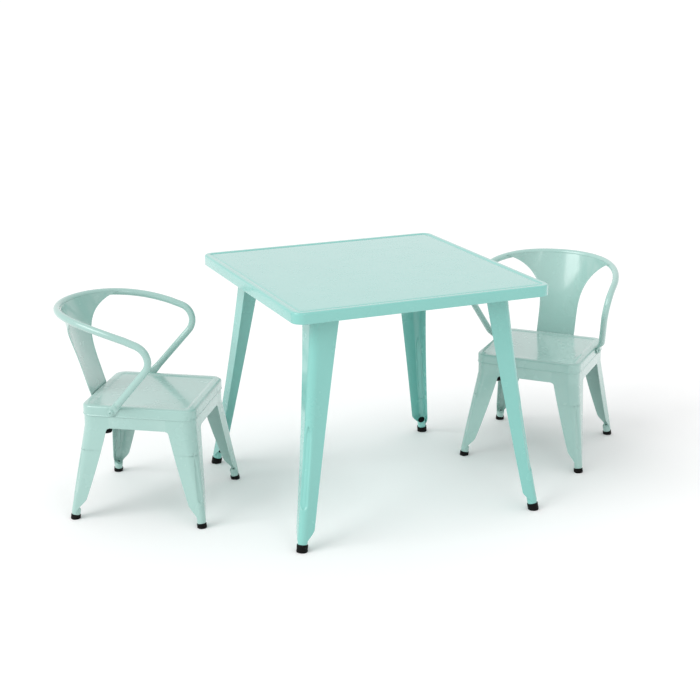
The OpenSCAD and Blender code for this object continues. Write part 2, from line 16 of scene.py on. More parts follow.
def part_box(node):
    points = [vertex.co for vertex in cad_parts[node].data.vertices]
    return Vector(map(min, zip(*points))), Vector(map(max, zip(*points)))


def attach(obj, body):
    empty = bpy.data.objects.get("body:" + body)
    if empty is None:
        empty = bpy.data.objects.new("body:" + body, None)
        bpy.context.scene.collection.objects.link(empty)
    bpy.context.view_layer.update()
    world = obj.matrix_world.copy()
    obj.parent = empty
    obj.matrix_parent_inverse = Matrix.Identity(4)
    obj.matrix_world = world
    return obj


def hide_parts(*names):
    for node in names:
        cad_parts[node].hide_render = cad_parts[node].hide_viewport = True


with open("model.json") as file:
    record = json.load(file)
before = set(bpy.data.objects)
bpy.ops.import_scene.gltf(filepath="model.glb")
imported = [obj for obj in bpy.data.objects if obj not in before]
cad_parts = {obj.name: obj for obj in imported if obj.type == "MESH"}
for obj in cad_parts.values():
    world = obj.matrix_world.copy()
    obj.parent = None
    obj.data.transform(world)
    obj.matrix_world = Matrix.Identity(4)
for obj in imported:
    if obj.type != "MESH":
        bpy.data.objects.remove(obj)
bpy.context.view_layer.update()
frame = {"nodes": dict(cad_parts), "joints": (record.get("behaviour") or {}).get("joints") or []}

MM = 0.001
QUARTER = pi / 2
MERGE_WITHIN = 0.01  # points of one mesh that are nearer than this become one
SHEET_CREASE, RUBBER_CREASE, TUBE_CREASE = 32, 50, 60  # sharper edges than this aren't smoothed


# ---------------------------------------------------------------- places, from the frame

def node_box(node):
    """The lowest and highest corner of a CAD node, in millimetres."""
    low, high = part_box(node)
    return low / MM, high / MM


def node_middle(node):
    low, high = node_box(node)
    return (low + high) / 2


table_low, table_high = node_box("table_top")
TABLE_HALF = (table_high.x - table_low.x) / 2
TABLE_H = table_high.z
TABLE_PLACE = Matrix.Translation((node_middle("table_top").x, node_middle("table_top").y, 0))
SEAT_H = node_box("left_seat_pan")[1].z


def chair_place(side):
    """The chair stands at its seat pan's middle and faces along its slide joint's axis."""
    middle = node_middle(side + "_seat_pan")
    joint = next(j for j in frame["joints"] if j["child"] == side + "_chair")
    turn = Vector(joint["axis"][:2]).angle_signed(Vector((1, 0)))
    return Matrix.Translation((middle.x, middle.y, 0)) @ Matrix.Rotation(turn, 4, "Z")


CHAIR_PLACE = {side: chair_place(side) for side in ("left", "right")}
TABLE_CORNERS = ["rear_right", "rear_left", "front_left", "front_right"]
CHAIR_CORNERS = ["front_left", "rear_left", "rear_right", "front_right"]
CHAIR_SIDES = ["front", "left", "rear", "right"]


# ---------------------------------------------------------------- materials

def new_material(name):
    material = bpy.data.materials.new(name)
    material.use_nodes = True
    tree = material.node_tree
    shader = tree.nodes["Principled BSDF"]
    return material, tree, shader


def add_node(tree, kind, inputs=None, **settings):
    node = tree.nodes.new(kind)
    for key, value in settings.items():
        setattr(node, key, value)
    for key, value in (inputs or {}).items():
        if isinstance(value, bpy.types.NodeSocket):
            tree.links.new(value, node.inputs[key])
        else:
            node.inputs[key].default_value = value
    return node


def noise(tree, scale, detail=3.0, roughness=0.5, stretch=(1, 1, 1)):
    """Noise over the object's own coordinates, at so many features a metre."""
    where = add_node(tree, "ShaderNodeTexCoord").outputs["Object"]
    where = add_node(tree, "ShaderNodeMapping", {"Vector": where, "Scale": stretch}).outputs[0]
    settings = {"Vector": where, "Scale": scale, "Detail": detail, "Roughness": roughness}
    return add_node(tree, "ShaderNodeTexNoise", settings).outputs["Fac"]


def spread(tree, value, low, high, from_low=0.3, from_high=0.7):
    """Stretches a value between from_low and from_high over low to high, and holds it there."""
    settings = {"Value": value, "From Min": from_low, "From Max": from_high, "To Min": low, "To Max": high}
    return add_node(tree, "ShaderNodeMapRange", settings, clamp=True).outputs[0]


def blend_colours(tree, factor, first, second):
    node = add_node(tree, "ShaderNodeMix", {"Factor": factor}, data_type="RGBA")
    for socket, value in ((node.inputs[6], first), (node.inputs[7], second)):
        if isinstance(value, bpy.types.NodeSocket):
            tree.links.new(value, socket)
        else:
            socket.default_value = (*value, 1)
    return node.outputs[2]


def bump(tree, layers):
    """Stacks bump layers, each (height, strength, distance in metres)."""
    normal = None
    for height, strength, distance in layers:
        inputs = {"Height": height, "Strength": strength, "Distance": distance}
        if normal:
            inputs["Normal"] = normal
        normal = add_node(tree, "ShaderNodeBump", inputs).outputs[0]
    return normal


def paint(name, deep, pale, fleck_and_edge_highlight):
    """Glossy powder coat: orange peel, slow drifts of tone and gloss, and paler edges as a painted highlight.
    """
    material, tree, shader = new_material(name)
    drift = noise(tree, scale=7, detail=4)
    mottle = noise(tree, scale=120, detail=3)
    shade = blend_colours(tree, spread(tree, drift, low=0.0, high=1.0), deep, pale)
    fleck = spread(tree, mottle, low=0.0, high=0.03)
    shade = blend_colours(tree, fleck, shade, fleck_and_edge_highlight)
    # Painted highlight: convex edges, found by pointiness, are mixed towards the paler colour as if they
    # caught the light.
    edge = add_node(tree, "ShaderNodeNewGeometry").outputs["Pointiness"]
    edge = spread(tree, edge, low=0.0, high=0.35, from_low=0.54, from_high=0.66)
    shade = blend_colours(tree, edge, shade, fleck_and_edge_highlight)
    tree.links.new(shade, shader.inputs["Base Color"])
    gloss = spread(tree, noise(tree, scale=25, detail=4), low=0.22, high=0.29)
    tree.links.new(gloss, shader.inputs["Roughness"])
    peel = noise(tree, scale=420, detail=2)
    waves = noise(tree, scale=9, detail=1)
    layers = [(waves, 0.06, 0.002), (peel, 0.012, 0.0002)]
    tree.links.new(bump(tree, layers), shader.inputs["Normal"])
    shader.inputs["IOR"].default_value = 1.5
    shader.inputs["Coat Weight"].default_value = 1.0
    shader.inputs["Coat Roughness"].default_value = 0.10
    return material


def rubber(name):
    """Matt black rubber with a fine grain, paler where it has scuffed."""
    material, tree, shader = new_material(name)
    scuff = noise(tree, scale=260, detail=5, roughness=0.7)
    scuff = spread(tree, scuff, low=0.0, high=0.6, from_low=0.5, from_high=0.75)
    shade = blend_colours(tree, scuff, (0.0035, 0.0035, 0.0035), (0.018, 0.018, 0.017))
    tree.links.new(shade, shader.inputs["Base Color"])
    matt = spread(tree, noise(tree, scale=300, detail=3), low=0.50, high=0.70)
    tree.links.new(matt, shader.inputs["Roughness"])
    shader.inputs["Specular IOR Level"].default_value = 0.12
    grain = noise(tree, scale=1400, detail=3, roughness=0.6)
    dents = noise(tree, scale=180, detail=2)
    layers = [(grain, 0.35, 0.0002), (dents, 0.2, 0.0004)]
    tree.links.new(bump(tree, layers), shader.inputs["Normal"])
    return material


def zinc_plate(name):
    """Zinc-plated steel: bright and dull patches, with fine drawn streaks."""
    material, tree, shader = new_material(name)
    patch = spread(tree, noise(tree, scale=90, detail=4), low=0.0, high=1.0)
    shade = blend_colours(tree, patch, (0.50, 0.51, 0.52), (0.70, 0.71, 0.71))
    tree.links.new(shade, shader.inputs["Base Color"])
    shader.inputs["Metallic"].default_value = 1.0
    dull = spread(tree, noise(tree, scale=200, detail=3), low=0.28, high=0.45)
    tree.links.new(dull, shader.inputs["Roughness"])
    streaks = noise(tree, scale=700, detail=3, roughness=0.6, stretch=(1, 1, 0.05))
    tree.links.new(bump(tree, [(streaks, 0.25, 0.0002)]), shader.inputs["Normal"])
    return material


def floor_paint(name):
    """Plain pale studio floor, with the faintest cloudiness."""
    material, tree, shader = new_material(name)
    cloud = spread(tree, noise(tree, scale=0.8, detail=3), low=0.0, high=1.0)
    shade = blend_colours(tree, cloud, (0.92, 0.92, 0.92), (0.94, 0.94, 0.94))
    tree.links.new(shade, shader.inputs["Base Color"])
    shader.inputs["Roughness"].default_value = 0.9
    shader.inputs["Specular IOR Level"].default_value = 0.1
    return material


AQUA = paint(
    "aqua_powder_coat", deep=(0.190, 0.515, 0.464), pale=(0.202, 0.533, 0.481), fleck_and_edge_highlight=(0.33, 0.65, 0.60),
)
MINT = paint(
    "mint_powder_coat", deep=(0.318, 0.513, 0.470), pale=(0.332, 0.529, 0.486), fleck_and_edge_highlight=(0.46, 0.64, 0.60),
)
RUBBER = rubber("black_rubber_grain")
ZINC = zinc_plate("zinc_plate_patches")


# ---------------------------------------------------------------- mesh tools

BRIM = 0.3  # how far a sheet's edge bulges, as a share of its thickness


def add_piece(name, mesh_data, material, place, body, node, crease=SHEET_CREASE):
    """Makes one object from (points in millimetres, faces), in the frame, in place of a CAD node."""
    points, faces = mesh_data
    mesh = bpy.data.meshes.new(name)
    mesh.from_pydata([place @ Vector(p) * MM for p in points], [], faces)
    work = bmesh.new()
    work.from_mesh(mesh)
    bmesh.ops.remove_doubles(work, verts=work.verts, dist=MERGE_WITHIN * MM)
    bmesh.ops.recalc_face_normals(work, faces=work.faces)
    work.to_mesh(mesh)
    work.free()
    mesh.shade_smooth()
    mesh.set_sharp_from_angle(angle=radians(crease))
    mesh.materials.append(material)
    piece = bpy.data.objects.new(name, mesh)
    bpy.context.scene.collection.objects.link(piece)
    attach(piece, body)
    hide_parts(node)


def merge(parts):
    """Joins several (points, faces) into one."""
    points, faces = [], []
    for some_points, some_faces in parts:
        start = len(points)
        points += some_points
        faces += [[start + i for i in face] for face in some_faces]
    return points, faces


def moved(mesh_data, matrix):
    points, faces = mesh_data
    return [matrix @ Vector(p) for p in points], faces


def ring_faces(count, size):
    """Quads that join count closed rings of size points each."""
    return [
        [j * size + k, j * size + (k + 1) % size, (j + 1) * size + (k + 1) % size, (j + 1) * size + k]
        for j in range(count - 1)
        for k in range(size)
    ]


def loft(rings):
    """A closed skin over rings of points, with a fan of triangles at each end."""
    size = len(rings[0])
    points = [p for ring in rings for p in ring]
    faces = ring_faces(len(rings), size)
    for start in (0, (len(rings) - 1) * size):
        middle = sum((Vector(p) for p in points[start:start + size]), Vector()) / size
        points.append(middle)
        faces += [[start + k, start + (k + 1) % size, len(points) - 1] for k in range(size)]
    return points, faces


def sheet_loft(rows):
    """A closed sheet over rows of (outer points, inner points), with its two long edges rounded over."""
    size = len(rows[0][0])
    points, faces = [], []
    for outer, inner in rows:
        brim = []
        for end, near in ((-1, -2), (0, 1)):
            across = (outer[end] - inner[end]).length
            away = (outer[end] - outer[near]).normalized()
            brim.append((outer[end] + inner[end]) / 2 + away * across * BRIM)
        points += outer + [brim[0]] + inner[::-1] + [brim[1]]
    around = 2 * size + 2
    faces = ring_faces(len(rows), around)
    for start in (0, (len(rows) - 1) * around):
        opposite = start + 2 * size
        faces += [[start + k, start + k + 1, opposite - k - 1, opposite - k] for k in range(size - 1)]
        faces += [[start + size - 1, start + size, start + size + 1], [opposite, opposite + 1, start]]
    return points, faces


def lathe(profile, sides=32):
    """Turns (radius, height) points round Z and closes both ends."""
    return loft([[Vector((r * cos(a), r * sin(a), z)) for a in turn_angles(sides)] for r, z in profile])


def turn_angles(sides):
    """The angles of so many even steps round a full turn."""
    return [2 * pi * k / sides for k in range(sides)]


def smooth_step(x):
    """Rises smoothly from 0 at x = 0 to 1 at x = 1, and is flat outside."""
    x = max(0.0, min(1.0, x))
    return x * x * (3 - 2 * x)


def arc(middle, radius, start, end, steps):
    """Points of an arc in a profile's plane, from the start angle to the end angle in degrees."""
    angles = [radians(start + (end - start) * i / steps) for i in range(steps + 1)]
    return [(middle[0] + radius * cos(a), middle[1] + radius * sin(a)) for a in angles]


# ---------------------------------------------------------------- pressed pans

CORNER_STEPS = 10
SIDE_STEPS = 6
SMALLEST_CORNER = 0.4


def square_ring(half, corner, z):
    """A square with round corners, seen from above, as one closed ring."""
    corner = max(corner, SMALLEST_CORNER)
    flat = half - corner
    ring = []
    for k in range(4):
        turn = Matrix.Rotation(QUARTER * k, 4, "Z")
        for i in range(SIDE_STEPS):
            ring.append(turn @ Vector((half, flat * (2 * i / SIDE_STEPS - 1), z)))
        for i in range(CORNER_STEPS):
            a = QUARTER * i / CORNER_STEPS
            ring.append(turn @ Vector((flat + corner * cos(a), flat + corner * sin(a), z)))
    return ring


def pan(half, height, corner, profile):
    """A pressed pan from a profile of (distance in from its side, height over its rim), first to last."""
    return loft([square_ring(half - inset, corner - inset, height + z) for inset, z in profile])


SHEET = 1.2
SOFT_BEND = 0.8  # how far the hem's inner bend cuts its corner
TABLE_SKIRT = 24.5
TABLE_CORNER = 24
TABLE_EDGE = 4
TABLE_DROP = 1.2
TABLE_HEM = 7


def table_pan():
    """A raised rim, a fine moat pressed just inside it, a flat panel, and a skirt hemmed inward."""
    panel = [(TABLE_HALF * share, -TABLE_DROP) for share in (0.9, 0.6, 0.3, 0.12)]
    moat = [(21.5, -1.2), (20.6, -1.25), (19.7, -1.6), (18.8, -2.0), (17.5, -2.15), (15.5, -2.15),
            (14.3, -2.0), (13.4, -1.5), (12.4, -0.6), (11.5, -0.15), (10.4, 0)]
    edge = arc((TABLE_EDGE, -TABLE_EDGE), TABLE_EDGE, 90, 180, 7)
    fold = arc((SHEET, -TABLE_SKIRT + SHEET), SHEET, 180, 270, 4)
    hem_top = -TABLE_SKIRT + SHEET
    hem = [(TABLE_HEM - 0.5, -TABLE_SKIRT), (TABLE_HEM, -TABLE_SKIRT + 0.5), (TABLE_HEM - 0.5, hem_top)]
    inside = [(SHEET + SOFT_BEND, hem_top), (SHEET, hem_top + SOFT_BEND)]
    under = arc((TABLE_EDGE, -TABLE_EDGE), TABLE_EDGE - SHEET, 180, 90, 4)
    belly = [(12, -SHEET), (16, -TABLE_DROP - SHEET), (TABLE_HALF * 0.6, -TABLE_DROP - SHEET)]
    profile = panel + moat + edge + fold + hem + inside + under + belly
    return pan(TABLE_HALF, TABLE_H, TABLE_CORNER, profile)


SEAT_HALF = 130
SEAT_SKIRT = 24.5
SEAT_CORNER = 28
SEAT_EDGE = 6
SEAT_DROP = 2
BEAD = 0.9
BEAD_H = 3.2


def seat_pan():
    """A soft rim, a shallow pressed panel, and a skirt that ends in a rolled bead."""
    panel = [(SEAT_HALF * share, -SEAT_DROP) for share in (0.9, 0.6, 0.35)]
    step = [(24, -2.0), (22, -1.93), (20.5, -1.65), (19, -1.15),
            (17.5, -0.6), (16, -0.2), (14.5, -0.04), (12.5, 0)]
    edge = arc((SEAT_EDGE, -SEAT_EDGE), SEAT_EDGE, 90, 180, 8)
    neck = -SEAT_SKIRT + BEAD_H
    bead = [(0, neck), (-BEAD * 0.3, neck - 0.4), (-BEAD * 0.8, neck - 0.9), (-BEAD, neck - 1.6),
            (-BEAD * 0.8, neck - 2.3), (-BEAD * 0.3, neck - 2.9), (0.3, -SEAT_SKIRT)]
    inside = [(SHEET, -SEAT_SKIRT), (SHEET, -SEAT_EDGE)]
    under = arc((SEAT_EDGE, -SEAT_EDGE), SEAT_EDGE - SHEET, 180, 90, 4)
    belly = [(14, -SHEET), (22, -SEAT_DROP - SHEET), (SEAT_HALF * 0.6, -SEAT_DROP - SHEET)]
    profile = panel + step + edge + bead + inside + under + belly
    return pan(SEAT_HALF, SEAT_H, SEAT_CORNER, profile)


# ---------------------------------------------------------------- V-section legs

SOLE = 5  # the foot tube starts this far over the floor
WELD = 0.4  # how far the tube sinks into the leg's sheet
FOOT_AXIS_LIFT = 1.5
COLLAR_L = 17
COLLAR_FLAT = 0.3
COLLAR_TAPER = 4
COLLAR_GAP = 0.3
TUBE_SLANT = tan(radians(30))
SLANT_RISE = 8
TUBE_SHORT = 2
TUBE_HOLE = 14
SHADE_PLUG_GAP = 0.15
CAP_WALL = 1.4
EVEN = 0.42  # share of a row's points that are spread evenly; the rest crowd towards the corner


class Leg:
    """One folded leg at its piece's (+x, +y) corner, with the tube and the cap at its foot.

    It splays below splay_z, and its flanges end at flange_z. face_ is the distance from the piece's middle to
    the leg's outer faces, round_ the corner's radius and flange_ the width of a flange beside it, each at the
    leg's top and end. The flanges' edges bow, the faces flare, and the V closes by some degrees downwards.
    notch is where the flanges sweep in to the tube, and vent the radius of the hole in the tube's top.
    """

    def __init__(self, top, splay_z, flange_z, face_top, face_floor, round_top, round_end, flange_top,
                 flange_end, bow, flare, close, fillet, sheet, notch, recess, cap_h, vent):
        self.top, self.splay_z, self.flange_z = top, splay_z, flange_z
        self.face_top, self.face_floor = face_top, face_floor
        self.round_top, self.round_end = round_top, round_end
        self.flange_top, self.flange_end = flange_top, flange_end
        self.bow, self.close, self.fillet, self.sheet = bow, close, fillet, sheet
        self.flare, self.notch, self.recess, self.cap_h, self.vent = flare, notch, recess, cap_h, vent
        self.tube_r = round_end - sheet + WELD
        self.collar_z = flange_z - COLLAR_L

    def share(self, z):
        """0 where the leg starts to splay, 1 at its flanges' end."""
        return 0.0 if z >= self.splay_z else (self.splay_z - z) / (self.splay_z - self.flange_z)

    def face(self, z):
        """How far the leg's outer faces stand from the piece's middle."""
        if z >= self.splay_z:
            return self.face_top
        s = 1 - z / self.splay_z
        return self.face_top + (self.face_floor - self.face_top) * (s + self.flare * (s * s - s))

    def edge(self, z):
        """How far the flanges reach in, measured like the face from the piece's middle."""
        start = self.face_top - self.flange_top
        end = self.face(self.flange_z) - self.flange_end
        s = min(self.share(z), 1.0)
        plain = start + (end - start - self.bow) * s + self.bow * s * s
        below = self.splay_z - z
        if z >= self.splay_z:
            return plain - self.fillet
        if below < self.fillet:
            plain -= self.fillet - sqrt(self.fillet ** 2 - (self.fillet - below) ** 2)
        return plain

    def row(self, z, half_count=22):
        """The outer and inner points of the sheet at one height, from one flange's edge to the other's."""
        s = self.share(z)
        r = self.round_top + (self.round_end - self.round_top) * min(s, 1.0)
        o = self.face(z) - r
        turn = radians(self.close) * min(s, 1.0)
        reach = r * (QUARTER / 2 + turn)
        flat = (o - r * sin(turn) - self.edge(z)) / cos(turn)
        # The flanges sweep in to the foot tube. Below that only the rounded corner goes on, as a collar.
        low, high = self.notch
        flat = COLLAR_FLAT + (flat - COLLAR_FLAT) * smooth_step((z - low) / (high - low))
        taper = smooth_step((self.collar_z + COLLAR_TAPER - z) / COLLAR_TAPER)
        shrink = (self.round_end - self.tube_r - COLLAR_GAP) * taper
        total = reach + flat
        outer, inner = [], []
        for i in range(-half_count, half_count + 1):
            t = i / half_count
            along = total * (EVEN * t + (1 - EVEN) * t ** 3)
            past = max(0.0, abs(along) - reach)
            a = QUARTER / 2 + (1 if along > 0 else -1) * min(abs(along), reach) / r
            normal = Vector((cos(a), sin(a), 0))
            tangent = Vector((-sin(a), cos(a), 0)) * (1 if along > 0 else -1)
            skin = Vector((o, o, z)) + normal * (r - shrink) + tangent * past
            skin -= normal * self.recess(z, abs(along))
            outer.append(skin)
            inner.append(skin - normal * self.sheet)
        return outer, inner

    def foot_axis(self):
        """Stands a shape on the foot's own tilted axis, with z = 0 where that axis meets the floor."""
        splay = (self.face_floor - self.face_top) * (1 + self.flare) / self.splay_z
        middle = self.face_floor - self.round_end
        lean = Matrix.Rotation(-atan(splay * sqrt(2)), 4, "Y")
        return Matrix.Translation((middle, middle, 0)) @ Matrix.Rotation(QUARTER / 2, 4, "Z") @ lean

    def levels(self):
        """Heights of the rows, from (start, step) stops: close together at the notch and the recess."""
        stops = [(self.collar_z, 1.3), (self.notch[1] + 1, 4)] + self.recess.stops
        stops += [(self.splay_z - self.fillet - 4, 1.5), (self.splay_z, 12), (self.top, 12)]
        levels = []
        for (z, step), (after, _) in zip(stops, stops[1:]):
            count = max(1, round((after - z) / step))
            levels += [z + (after - z) * i / count for i in range(count)]
        return levels + [self.top]

    def sheet_mesh(self):
        return sheet_loft([self.row(z) for z in self.levels()])

    def tube_mesh(self):
        """The foot tube: its top slants inward, and is open or has a dished disc with a hole in it."""
        r, top, vent = self.tube_r, self.flange_z - TUBE_SHORT, self.vent
        outside = [(r - 1.5, SOLE), (r, SOLE), (r, top - 6), (r, top - 0.7),
                   (r - 0.2, top - 0.2), (r - 0.7, top)]
        if vent < r / 2:
            outside += [(r - 1.3, top - 0.2), (r - 1.8, top - 1.0), (r - 2.6, top - 1.6),
                        (r - 3.6, top - 1.5), (vent + 1.6, top - 0.5), (vent + 0.5, top - 0.4)]
        hole = [(vent + 0.1, top - 0.7), (vent, top - 1.2), (vent, top - TUBE_HOLE), (0.3, top - TUBE_HOLE)]
        return self.slanted(outside + hole)

    def slanted(self, profile):
        """Turns a profile on the foot's axis, and tilts its upper part to the tube's slant."""
        points, faces = lathe(profile, 36)
        for p in points:
            p.z += TUBE_SLANT * p.x * smooth_step((p.z - SOLE) / SLANT_RISE)
        return moved((points, faces), self.foot_axis())

    def shade_plug_mesh(self):
        """The cap's black plug down inside the tube's hole: painted shade, a dark face that stands in for the
        hole's shadow.
        """
        r, top = self.vent - SHADE_PLUG_GAP, self.flange_z - TUBE_SHORT
        bottom = top - TUBE_HOLE + 0.2
        return self.slanted([(r, bottom), (r, top - 3.2), (r * 0.92, top - 2.4), (0.3, top - 2.2)])

    def cap_mesh(self):
        """The rubber cap: a thin lip, a faint ring, a sole that lies flat on the floor, and a black plug as
        painted shade in the tube's hole.
        """
        r, h = self.tube_r + CAP_WALL, self.cap_h
        low = -FOOT_AXIS_LIFT
        wall = [(r - 1.6, low), (r - 0.5, low + 0.15), (r - 0.1, 0.6), (r, 1.4), (r, h * 0.30),
                (r - 0.35, h * 0.34), (r - 0.35, h * 0.42), (r, h * 0.46), (r, h - 0.9), (r - 0.25, h - 0.25),
                (r - 0.8, h)]
        lip = [(self.tube_r - 0.1, h), (self.tube_r - 0.3, h - 2)]
        points, faces = moved(lathe([(r * 0.5, low)] + wall + lip, 40), self.foot_axis())
        for p in points:
            p.z = max(p.z, 0.0)
        return merge([(points, faces), self.shade_plug_mesh()])


class Recess:
    """A long recess pressed into a leg's corner: a round lower end, and sides that close towards its top.

    It runs from low to high, and is depth deep inside a wall that slopes over the width wall. point is the
    length of its upper end, and top_share how wide it is there. dimple is (height, radius, depth).
    """

    def __init__(self, low, high, half_width, depth, wall, point, top_share, dimple=None):
        self.low, self.high, self.half_width = low, high, half_width
        self.depth, self.wall = depth, wall
        self.point, self.top_share, self.dimple = point, top_share, dimple
        self.stops = [(low - 3, 1.2), (low + 2 * half_width, 5), (high - point, 2.5), (high + 3, 2)]
        if dimple:
            self.stops += [(dimple[0] - dimple[1] - 1, 1.0), (dimple[0] + dimple[1] + 1, 12)]
        self.stops[-1] = (self.stops[-1][0], 14)

    def width(self, z):
        if not self.low < z < self.high:
            return 0.0
        wide = self.half_width * (1 - (1 - self.top_share) * (z - self.low) / (self.high - self.low))
        near_low = min(1.0, (z - self.low) / self.half_width)
        near_high = min(1.0, (self.high - z) / self.point)
        return wide * sqrt(1 - (1 - near_low) ** 2) * sqrt(1 - (1 - near_high) ** 2)

    def __call__(self, z, along):
        deep = self.depth * smooth_step((self.width(z) - along) / self.wall)
        if self.dimple:
            height, size, pressed = self.dimple
            away = sqrt((z - height) ** 2 + along ** 2)
            deep += pressed * smooth_step((size - away) / size)
        return deep


TABLE_LEG = Leg(
    top=TABLE_H - 4.4, splay_z=TABLE_H - TABLE_SKIRT, flange_z=38,
    face_top=TABLE_HALF - 66, face_floor=TABLE_HALF - 3.5, round_top=18, round_end=12,
    flange_top=61, flange_end=34.5, bow=0, flare=0.25, close=12, fillet=0, sheet=1.5, notch=(16, 46),
    recess=Recess(low=92, high=268, half_width=10, depth=3.6, wall=4.5, point=34, top_share=0.85),
    cap_h=16, vent=8.6,
)
CHAIR_LEG = Leg(
    top=SEAT_H - SEAT_EDGE - 0.3, splay_z=SEAT_H - SEAT_SKIRT - 27, flange_z=30,
    face_top=SEAT_HALF - SHEET, face_floor=SEAT_HALF + 27.5, round_top=SEAT_CORNER - SHEET, round_end=10.5,
    flange_top=58.5, flange_end=29, bow=9, flare=0, close=9, fillet=6, sheet=1.5, notch=(12, 50),
    recess=Recess(low=57, high=158, half_width=8, depth=2.4, wall=4.5, point=50, top_share=0.5,
                  dimple=(165, 4.5, 1.2)),
    cap_h=10, vent=2.6,
)


def add_leg(leg, material, place, body, leg_node, foot_node, k):
    """Adds a leg with its cap, turned by k quarter turns from the (+x, +y) corner."""
    corner = place @ Matrix.Rotation(QUARTER * k, 4, "Z")
    mesh_data = merge([leg.sheet_mesh(), leg.tube_mesh()])
    add_piece(leg_node + "_fine", mesh_data, material, corner, body, leg_node)
    add_piece(foot_node + "_fine", leg.cap_mesh(), RUBBER, corner, body, foot_node, RUBBER_CREASE)


# ---------------------------------------------------------------- chair frame under the seat

RAIL_HEM = 6
RAIL_FOLD = 1.6


def frame_rail_mesh():
    """A flat strip between two legs, with its lower edge folded in."""
    face, low, high = CHAIR_LEG.face_top, CHAIR_LEG.splay_z, CHAIR_LEG.top
    half = CHAIR_LEG.edge(low)
    inner_r = RAIL_FOLD - SHEET
    outer = [(face, high)] + arc((face - RAIL_FOLD, low + RAIL_FOLD), RAIL_FOLD, 0, -90, 5)
    outer.append((face - RAIL_HEM, low))
    inner = [(face - SHEET, high)] + arc((face - RAIL_FOLD, low + RAIL_FOLD), inner_r, 0, -90, 5)
    inner.append((face - RAIL_HEM, low + SHEET))
    outline = outer + [(face - RAIL_HEM - 0.3, low + SHEET / 2)] + inner[::-1]
    rings = [[Vector((x, y, z)) for x, z in outline] for y in (half, half / 3, -half / 3, -half)]
    size = len(outline)
    points = [p for ring in rings for p in ring]
    faces = ring_faces(len(rings), size)
    last = len(outer) - 1
    for start in (0, (len(rings) - 1) * size):
        faces += [[start + k, start + k + 1, start + size - 2 - k, start + size - 1 - k] for k in range(last)]
        faces.append([start + last, start + last + 1, start + last + 2])
    return points, faces


BRACE_HALF_W = 10
BRACE_T = 3
BRACE_Z = CHAIR_LEG.splay_z - 6
BRACE_SOFT = 0.6
BRACE_GAP = 0.3
JOGGLE_END, JOGGLE_RUN = 26, 12
BUMPER_OUT = 120
BUMPER_H = 16
BUMPER_R = 13


def brace_reach():
    """Length of half a brace bar: from the middle to just inside the legs' corners."""
    bend = CHAIR_LEG.round_top + (CHAIR_LEG.round_end - CHAIR_LEG.round_top) * CHAIR_LEG.share(BRACE_Z)
    inner = bend - CHAIR_LEG.sheet
    return sqrt(2) * (CHAIR_LEG.face(BRACE_Z) - bend) + sqrt(inner ** 2 - BRACE_HALF_W ** 2) - BRACE_GAP


def brace_bar(dip):
    """One flat bar with softened edges, joggled down by dip where it passes under the other."""
    reach, w, t, soft = brace_reach(), BRACE_HALF_W, BRACE_T, BRACE_SOFT
    outline = [(-w, -soft), (-w + soft, 0), (w - soft, 0), (w, -soft),
               (w, -t + soft), (w - soft, -t), (-w + soft, -t), (-w, -t + soft)]
    half = [JOGGLE_END - JOGGLE_RUN, JOGGLE_END - JOGGLE_RUN / 2, JOGGLE_END, reach - soft, reach]
    stations = [-x for x in half[::-1]] + half
    rings = []
    for x in stations:
        down = dip * smooth_step((JOGGLE_END - abs(x)) / JOGGLE_RUN)
        squeeze = soft if abs(x) == reach else 0
        ring = [Vector((x, y * (1 - squeeze / w), BRACE_Z + z - down)) for y, z in outline]
        rings.append(ring)
    return loft(rings)


def cross_brace_mesh():
    """Two bars along the seat's diagonals, with a rivet where they cross."""
    bars = []
    for angle, dip in ((45, 0), (135, BRACE_T)):
        bars.append(moved(brace_bar(dip), Matrix.Rotation(radians(angle), 4, "Z")))
    rivet = [(3.5, BRACE_Z), (3.5, BRACE_Z + 0.8), (2.6, BRACE_Z + 1.6), (1.2, BRACE_Z + 2.0)]
    return merge(bars + [lathe(rivet, 20)])


def bumpers_mesh():
    """Four rubber buttons under the brace, each with a groove and a rounded lower rim."""
    top = BRACE_Z - BRACE_T
    low = top - BUMPER_H
    r = BUMPER_R
    profile = [(r * 0.35, low + 1.2), (r * 0.45, low), (r - 4.5, low), (r - 3.0, low + 0.5),
               (r - 2.1, low + 1.8), (r - 1.2, low + 7.5), (r - 2.0, low + 8.1), (r - 2.0, low + 9.1),
               (r - 0.9, low + 9.8),
               (r - 0.1, top - 0.8), (r - 0.5, top)]
    button = lathe(profile, 36)
    turns = [Matrix.Rotation(radians(45 + 90 * k), 4, "Z") for k in range(4)]
    return merge([moved(button, turn @ Matrix.Translation((BUMPER_OUT, 0, 0))) for turn in turns])


# ---------------------------------------------------------------- arm rail and back splat

# The rail is half an ellipse round the back, ARM_HALF_W wide on each side and BACK_A long. From its widest
# place it runs forward to CORNER, and back down the strut to KNEE, where it turns to the pad on the seat.
ARM_R = 8
BACK_Z = SEAT_H + 195.5
BACK_X = -SEAT_HALF - 79.5
WIDE_X = -5.5
BACK_A = WIDE_X - BACK_X
ARM_HALF_W = 172.5
ARM_REACH = 71.5
ARM_DROP = 57.5
ARM_BEND = 38
KNEE_BEND = 22
BOLT = Vector((-56, 0, SEAT_H - 12.5))
PAD_T = 4.4
PAD_HALF_W = 9.5
PAD_Y = SEAT_HALF + 0.1 + PAD_T / 2
CORNER = Vector((ARM_REACH, ARM_HALF_W + 3, BACK_Z - ARM_DROP))
STRUT = Vector((CORNER.x - BOLT.x, 0, CORNER.z - BOLT.z)).normalized()
PAD = Vector((BOLT.x, PAD_Y, BOLT.z))
KNEE = PAD + Vector((0, 14, 0)) + STRUT * 37
PAD_TOP = PAD + STRUT * 15
PAD_TIP = 8.6
PRESS_START, PRESS_RUN = 13, 26  # how far over the bolt the tube is still flat, and how soon it is round
SQUARER = 0.35


def arm_z(x):
    """Height of the rail's centre line, which drops towards the front."""
    return BACK_Z - ARM_DROP * ((x - BACK_X) / (ARM_REACH - BACK_X)) ** 2


